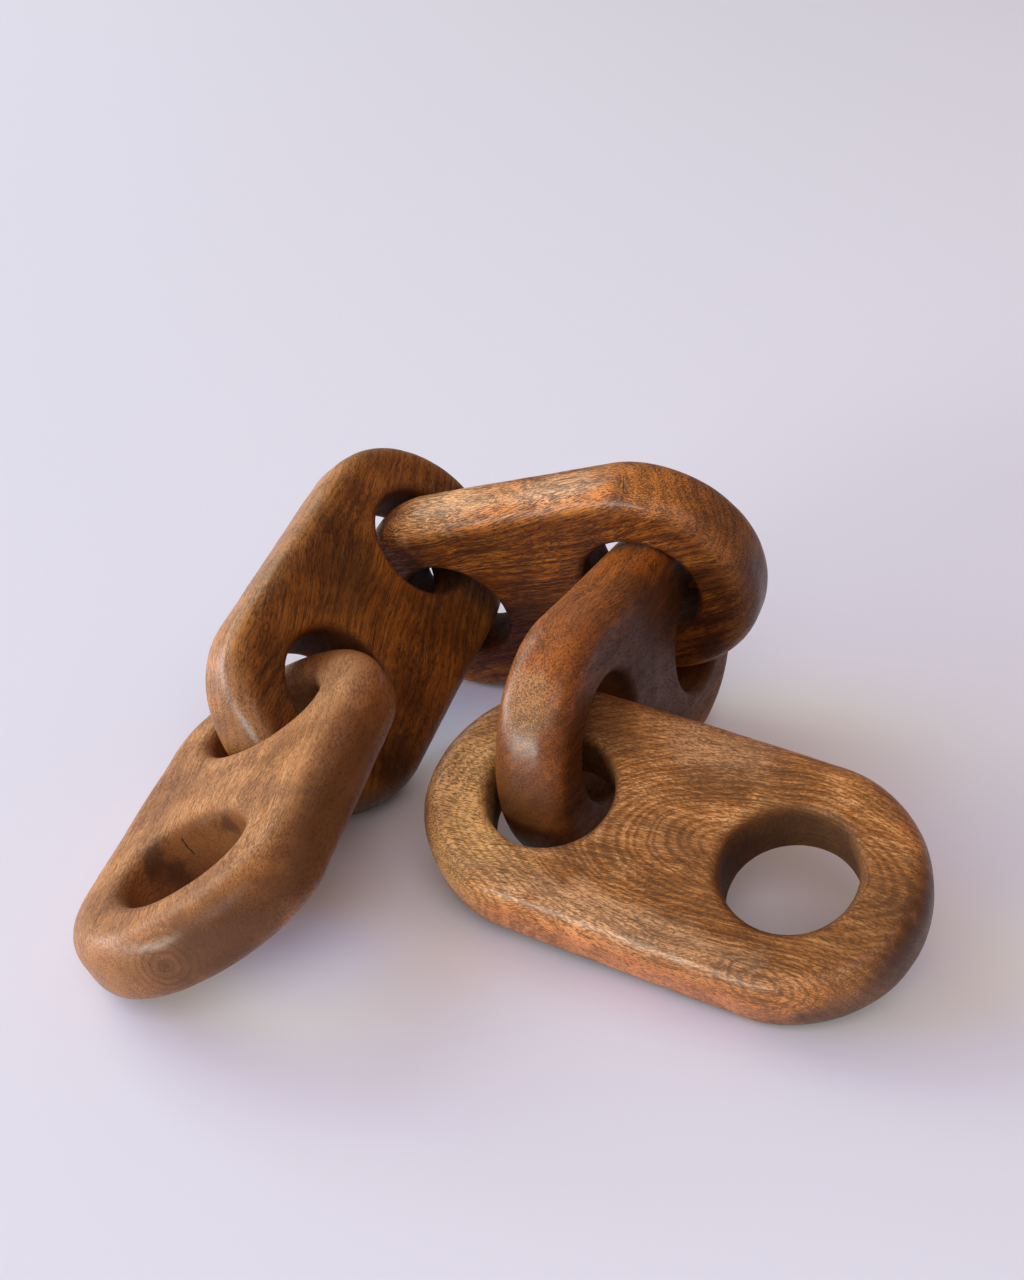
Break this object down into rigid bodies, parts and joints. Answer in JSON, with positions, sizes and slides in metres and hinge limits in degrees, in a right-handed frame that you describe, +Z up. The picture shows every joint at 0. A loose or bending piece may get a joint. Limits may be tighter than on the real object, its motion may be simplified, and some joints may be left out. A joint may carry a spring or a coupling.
{
  "type": "carved wooden link chain",
  "caption": "Decorative carved wooden chain of chunky round-ended links with round holes, lying loose on a table and bent back on itself.",
  "frame": {"origin": "middle of the chain's bounding box, on the table that it lies on", "axes": "+Z up, +X to the right and +Y away as seen from the front, where the free end links come nearest"},
  "size_m": [0.2352, 0.2334, 0.1009],
  "materials": {
    "wood_link_1": "oiled mango wood, light brown",
    "wood_link_2": "oiled mango wood, dark red-brown",
    "wood_link_3": "oiled mango wood, orange-brown",
    "wood_link_4": "oiled mango wood, red-brown",
    "wood_link_5": "oiled mango wood, tan-brown"
  },
  "bodies": {
    "root": {"link_1_left_end": "wood_link_1", "link_2_leaning": "wood_link_2", "link_3_on_edge": "wood_link_3", "link_4_crossing": "wood_link_4", "link_5_right_end": "wood_link_5"}
  },
  "joints": []
}
